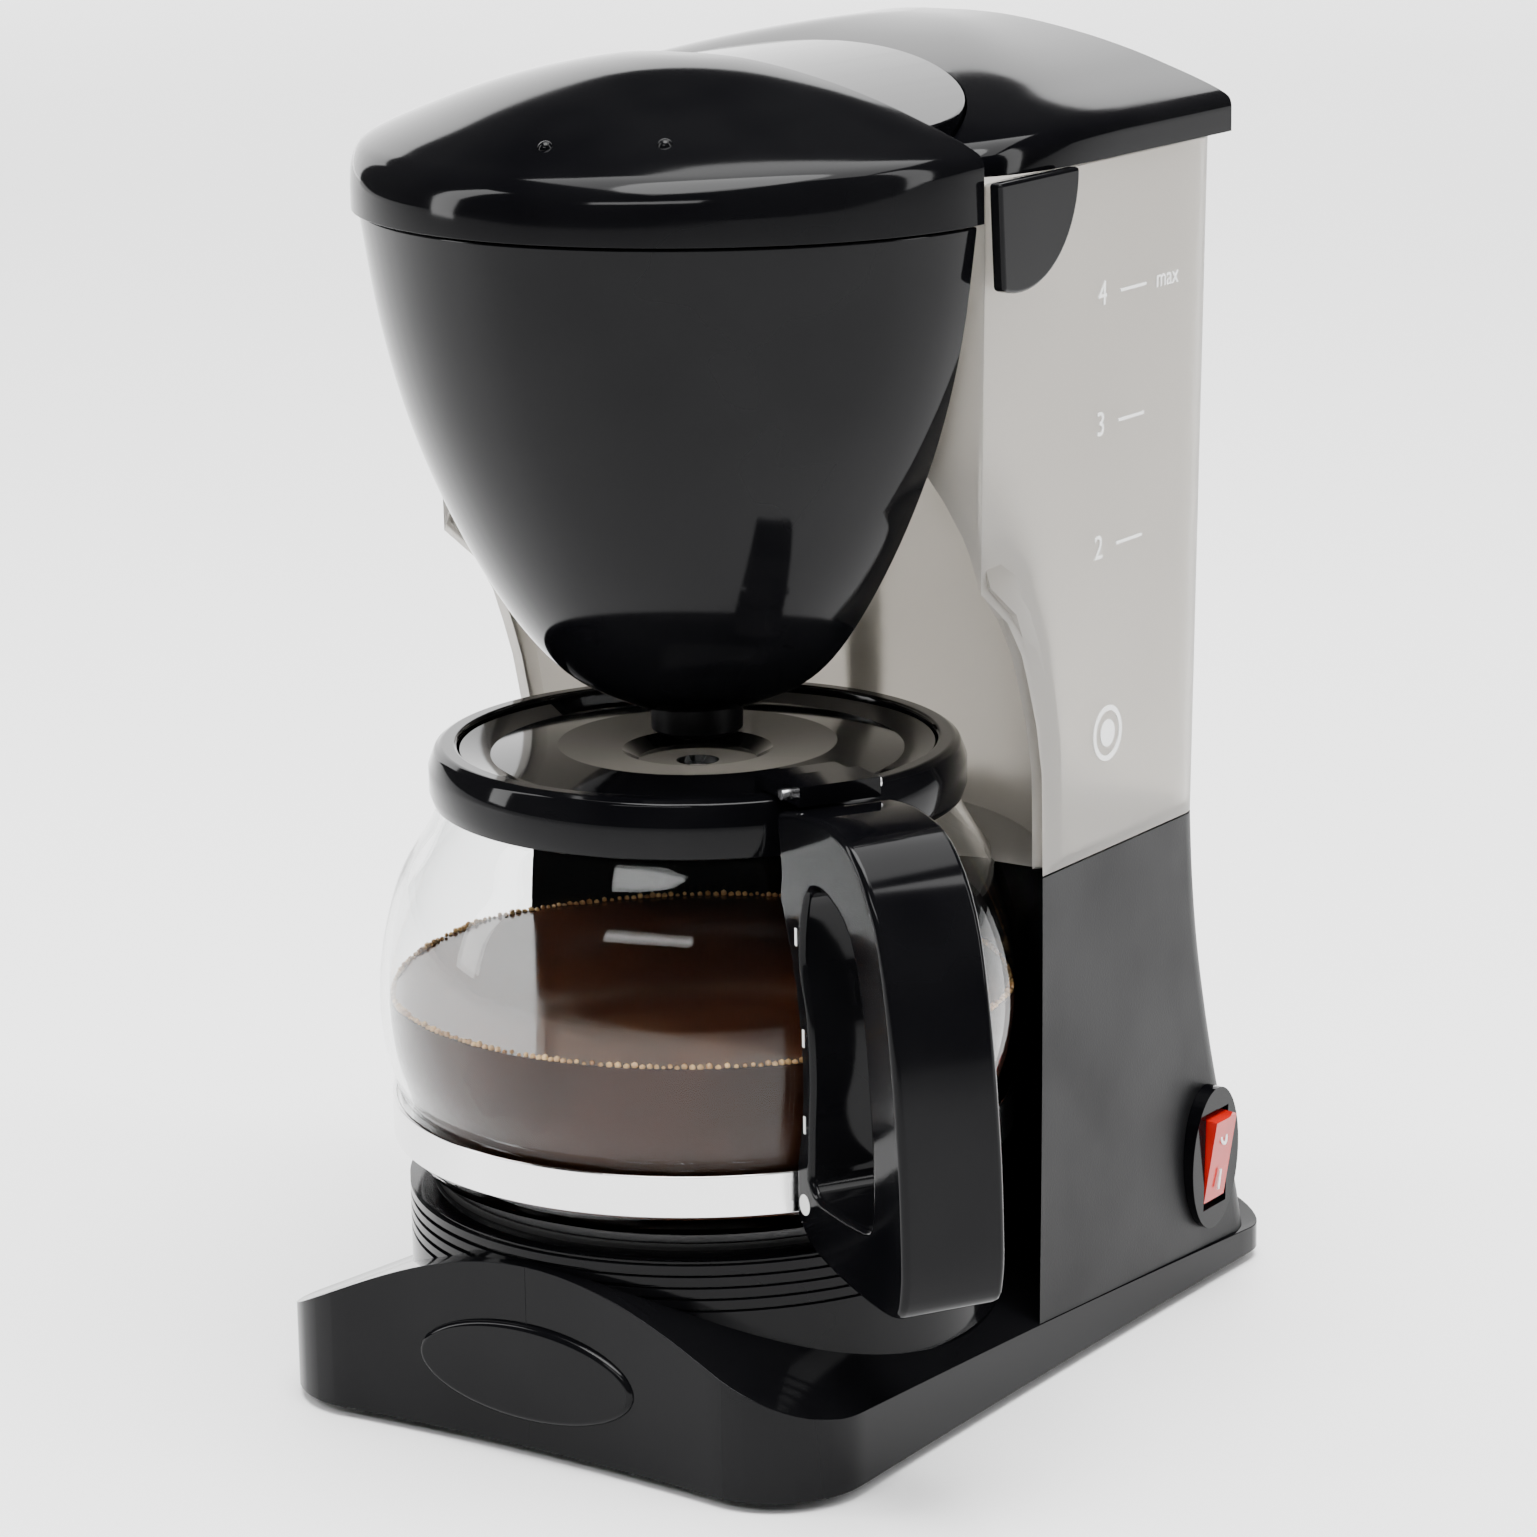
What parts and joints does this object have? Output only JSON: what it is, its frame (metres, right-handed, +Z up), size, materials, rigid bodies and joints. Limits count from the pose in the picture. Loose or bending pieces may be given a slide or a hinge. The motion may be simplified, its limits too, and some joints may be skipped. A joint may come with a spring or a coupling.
{
  "type": "drip coffee maker",
  "caption": "Drip coffee maker with glass carafe, swing-out filter holder, translucent water tank with tilting lid, warming plate and rocker switch.",
  "frame": {"origin": "centre of the bounding box on the resting plane, at the underside of the feet", "axes": "+Z up, -Y toward the front where the carafe stands, +X toward the switch and carafe handle side"},
  "size_m": [0.1546, 0.1735, 0.25],
  "materials": {
    "gloss_black": "gloss",
    "matte_black": "fine texture",
    "rubber_black": "matte",
    "plate_coating": "non-stick coating",
    "steel": "satin",
    "aluminium": "satin",
    "ceramic": "matte",
    "silicone_clear": "translucent",
    "silicone_red": "matte",
    "pipe_plastic": "satin",
    "wire_sleeve": "satin",
    "smoky_tank": "frosted translucent",
    "white_print": "print",
    "clear_glass": "clear",
    "polished_band": "polished",
    "red_rocker": "translucent gloss"
  },
  "bodies": {
    "base": {"base_housing": "gloss_black", "front_pad": "gloss_black", "bottom_cover": "matte_black", "feet": "rubber_black", "bottom_screws": "steel", "warming_plate": "plate_coating", "plate_gasket": "rubber_black", "heating_element": "aluminium", "heater_tube": "aluminium", "heater_clamp": "steel", "thermostat": "ceramic", "thermal_fuse": "ceramic", "inlet_hose": "silicone_clear", "outlet_hose": "silicone_clear", "hose_clips": "steel", "check_valve": "silicone_red", "riser_tube": "pipe_plastic", "riser_seal": "rubber_black", "water_spout": "gloss_black", "wiring": "wire_sleeve", "cord_grommet": "matte_black", "tower_shell": "matte_black", "water_tank": "smoky_tank", "tank_marks": "white_print", "tank_lid_pin": "steel", "spout_hub": "gloss_black", "holder_pin": "steel", "switch_bezel": "gloss_black", "switch_body": "matte_black"},
    "holder": {"filter_holder": "gloss_black", "side_grip": "gloss_black", "filter_cone": "matte_black", "valve_seat": "silicone_red", "valve_ring": "matte_black", "valve_spring": "steel"},
    "cover": {"brew_cover": "gloss_black"},
    "plunger": {"valve_plunger": "matte_black"},
    "lid": {"tank_lid": "gloss_black"},
    "rocker": {"switch_rocker": "red_rocker"},
    "carafe": {"carafe_glass": "clear_glass", "carafe_collar": "gloss_black", "carafe_band": "polished_band", "carafe_handle": "gloss_black", "handle_screw": "steel", "carafe_lid": "gloss_black", "carafe_lid_pin": "steel"}
  },
  "joints": [
    {"name": "holder_swing", "type": "hinge", "parent": "base", "child": "holder", "pos_m": [-0.0698, -0.02925, 0.21], "axis": [0, 0, -1], "range_deg": [0, 80]},
    {"name": "cover_lift", "type": "slide", "parent": "holder", "child": "cover", "axis": [0, 0, 1], "range_m": [0, 0.06]},
    {"name": "plunger_lift", "type": "slide", "parent": "holder", "child": "plunger", "axis": [0, 0, 1], "range_m": [0, 0.003], "deforming": ["valve_spring"]},
    {"name": "tank_lid_tilt", "type": "hinge", "parent": "base", "child": "lid", "pos_m": [-0.0143, 0.06635, 0.228], "axis": [-1, 0, 0], "range_deg": [0, 80]},
    {"name": "power_rock", "type": "hinge", "parent": "base", "child": "rocker", "pos_m": [0.0458, 0.06075, 0.027], "axis": [0, -1, 0], "range_deg": [0, 14]},
    {"name": "carafe_slide", "type": "slide", "parent": "base", "child": "carafe", "axis": [0, -1, 0], "range_m": [0, 0.16]}
  ]
}
